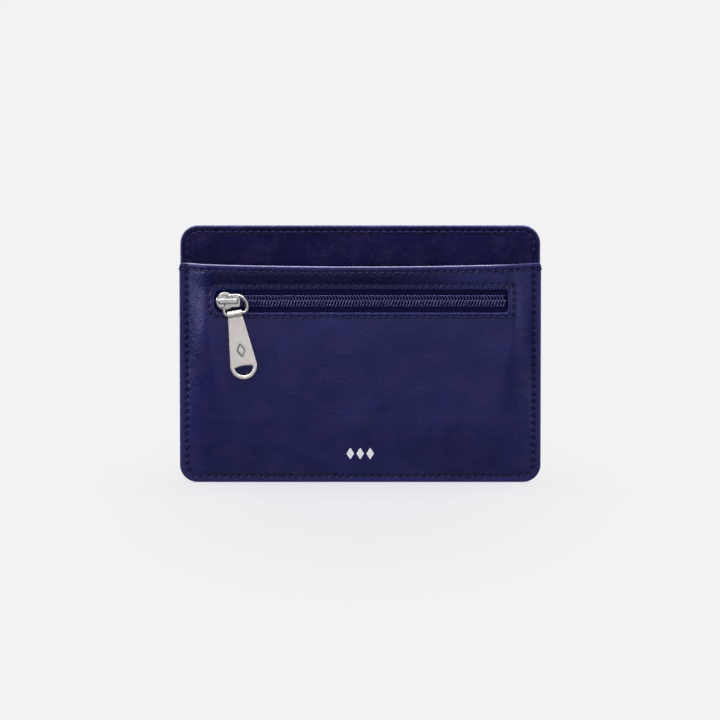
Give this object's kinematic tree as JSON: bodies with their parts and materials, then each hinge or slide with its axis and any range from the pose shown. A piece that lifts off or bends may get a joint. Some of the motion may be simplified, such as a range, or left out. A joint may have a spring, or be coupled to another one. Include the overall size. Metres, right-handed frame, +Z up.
{
  "type": "passport holder",
  "caption": "Slim landscape leather sleeve that holds a passport upright, with a zipped flat pocket on its front and a metal ring pull.",
  "frame": {"origin": "on the plane the holder stands on, under the middle of its width and of its whole depth", "axes": "+X to the right and +Z up with the zip facing the viewer; +Y away from the viewer, towards the plain back"},
  "size_m": [0.142, 0.0148, 0.101],
  "materials": {
    "navy_leather": "smooth, semi-gloss",
    "navy_facing": "smooth, satin",
    "navy_lining": "matt twill",
    "zip_tape": "matt woven",
    "nylon_coil": "satin",
    "nickel": "polished nickel",
    "nickel_satin": "satin nickel",
    "navy_thread": "matt bonded thread",
    "grey_board": "matt",
    "silver_foil": "foil"
  },
  "bodies": {
    "holder": {"back_cover": "navy_leather", "stiffener_board": "grey_board", "back_facing": "navy_facing", "pocket_lining": "navy_lining", "zip_pocket_rear_lining": "navy_lining", "zip_pocket_front_lining": "navy_lining", "front_panel": "navy_leather", "zip_tape_upper": "zip_tape", "zip_tape_lower": "zip_tape", "zip_coil_upper": "nylon_coil", "zip_coil_lower": "nylon_coil", "zip_stop_closed_end": "nickel", "zip_stop_open_end": "nickel", "thread_front_seam": "navy_thread", "thread_back_seam": "navy_thread", "thread_hem": "navy_thread", "thread_zip_window": "navy_thread", "foil_mark": "silver_foil"},
    "slider": {"slider_body": "nickel", "slider_crown": "nickel"},
    "ring": {"pull_ring": "nickel"},
    "tab": {"pull_tab": "nickel_satin"}
  },
  "joints": [
    {"name": "slider_travel", "type": "slide", "parent": "holder", "child": "slider", "axis": [1, 0, 0], "range_m": [0, 0.104], "deforming": ["zip_coil_upper", "zip_coil_lower"]},
    {"name": "ring_swing", "type": "hinge", "parent": "slider", "child": "ring", "pos_m": [-0.0524, -0.00563, 0.0718], "axis": [-0.5299, 0, -0.848], "range_deg": [0, 110]},
    {"name": "tab_swing", "type": "hinge", "parent": "ring", "child": "tab", "pos_m": [-0.049, -0.00563, 0.0668], "axis": [-0.9863, 0, -0.165], "range_deg": [0, 60]}
  ]
}
